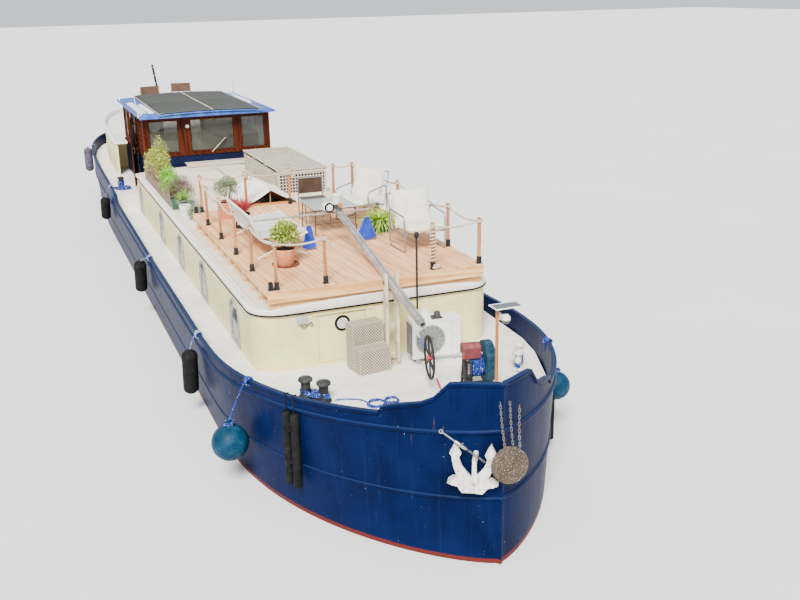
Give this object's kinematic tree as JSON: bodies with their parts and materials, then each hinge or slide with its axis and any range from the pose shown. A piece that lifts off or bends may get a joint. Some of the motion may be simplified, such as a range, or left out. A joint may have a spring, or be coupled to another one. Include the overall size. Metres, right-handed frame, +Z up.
{
  "type": "houseboat",
  "caption": "Canal barge live-aboard: blue steel hull, cream cabin with timber sun deck, mahogany wheelhouse, lowering mast, rudder and propeller.",
  "frame": {"origin": "foot of the stem on the waterline, on the centreline", "axes": "-Y towards the bow, +Y aft, +X to port, +Z up"},
  "size_m": [5.205, 26.267, 5.4909],
  "materials": {
    "hull_paint": "gloss",
    "deck_paint": "satin",
    "cream_paint": "satin",
    "white_paint": "satin",
    "navy_paint": "satin",
    "mahogany": "varnished",
    "timber": "oiled",
    "orange_wood": "varnished",
    "roof_canvas": "matt",
    "glass": "clear",
    "black_rubber": "matt",
    "black_paint": "satin",
    "steel": "brushed",
    "fender_vinyl": "satin",
    "rope": "matt",
    "blue_rope": "matt",
    "white_plastic": "satin",
    "weave": "matt",
    "brown_canvas": "matt",
    "white_cloth": "matt",
    "grey_plastic": "matt",
    "terracotta": "matt",
    "green_pot": "matt",
    "bronze": "cast",
    "trough_wood": "weathered"
  },
  "bodies": {
    "boat": {"hull": "hull_paint", "bulwark": "hull_paint", "skeg": "hull_paint", "deck": "deck_paint", "aft_deck": "deck_paint", "bollards_starboard": "black_paint", "bollards_port": "white_paint", "cabin_front": "cream_paint", "cabin_side_starboard": "cream_paint", "cabin_side_port": "cream_paint", "cabin_roof": "cream_paint", "cabin_windows_starboard": "glass", "cabin_windows_port": "glass", "platform": "timber", "rail_starboard": "orange_wood", "rail_port": "orange_wood", "wheelhouse_coaming": "navy_paint", "wheelhouse_front": "mahogany", "wheelhouse_aft": "mahogany", "wheelhouse_side_starboard": "mahogany", "wheelhouse_side_port": "mahogany", "wheelhouse_glass": "glass", "wheelhouse_roof": "roof_canvas", "aft_cabin": "cream_paint", "aft_cabin_roof": "cream_paint", "tabernacle": "cream_paint", "winch": "black_paint", "ac_unit": "white_plastic", "boarding_steps": "weave", "camera_post": "timber", "anchor": "white_paint", "rope_fender": "rope", "fender_starboard_1": "black_rubber", "fender_starboard_2": "black_rubber", "fender_starboard_3": "black_rubber", "fender_starboard_4": "black_rubber", "fender_port": "fender_vinyl", "ball_fender_starboard": "fender_vinyl", "tube_fenders": "black_rubber", "hatch_box": "grey_plastic", "skylight": "orange_wood", "bush_pot": "terracotta", "grass_bowl": "green_pot", "palm_pot": "grey_plastic", "shrub_pot": "terracotta", "roof_planters": "trough_wood", "armchair_port": "white_cloth", "armchair_starboard": "white_cloth", "side_chair": "brown_canvas", "deck_bench": "white_plastic", "table": "grey_plastic", "mooring_line": "blue_rope"},
    "cabin_door": {"cabin_door": "cream_paint"},
    "wheelhouse_door_starboard": {"wheelhouse_door_starboard": "mahogany"},
    "wheelhouse_door_port": {"wheelhouse_door_port": "mahogany"},
    "helm_wheel": {"helm_wheel": "steel"},
    "mast": {"mast": "cream_paint"},
    "winch_wheel": {"winch_wheel": "black_paint"},
    "propeller": {"propeller": "bronze"},
    "rudder": {"rudder": "black_paint"}
  },
  "joints": [
    {"name": "cabin_door_hinge", "type": "hinge", "parent": "boat", "child": "cabin_door", "pos_m": [-0.941, 3.852, 1.65], "axis": [0, 0, 1], "range_deg": [0, 95]},
    {"name": "starboard_door_hinge", "type": "hinge", "parent": "boat", "child": "wheelhouse_door_starboard", "pos_m": [-1.594, 17.08, 2.5], "axis": [0, 0, 1], "range_deg": [-166, 0]},
    {"name": "port_door_hinge", "type": "hinge", "parent": "boat", "child": "wheelhouse_door_port", "pos_m": [1.594, 17.08, 2.5], "axis": [0, 0, 1], "range_deg": [-166, 0]},
    {"name": "rudder_turn", "type": "hinge", "parent": "boat", "child": "rudder", "pos_m": [0, 24.96, -0.4], "axis": [0, 0, 1], "range_deg": [-35, 35]},
    {"name": "helm_wheel_turn", "type": "hinge", "parent": "boat", "child": "helm_wheel", "pos_m": [-0.95, 16.3253, 2.3], "axis": [0, 1, 0], "range_deg": [-350, 350]},
    {"name": "mast_raise", "type": "hinge", "parent": "boat", "child": "mast", "pos_m": [0.06, 3.47, 2.475], "axis": [1, 0, 0], "range_deg": [0, 74]},
    {"name": "winch_wheel_turn", "type": "hinge", "parent": "boat", "child": "winch_wheel", "pos_m": [0.13, 2.3, 1.735], "axis": [0.9801, -0.1987, 0], "continuous": true},
    {"name": "propeller_turn", "type": "hinge", "parent": "boat", "child": "propeller", "pos_m": [0, 24.2, -0.43], "axis": [0, 1, 0], "continuous": true}
  ],
  "couplings": [
    {"joint": "helm_wheel_turn", "follows": "rudder_turn", "ratio": -10}
  ]
}
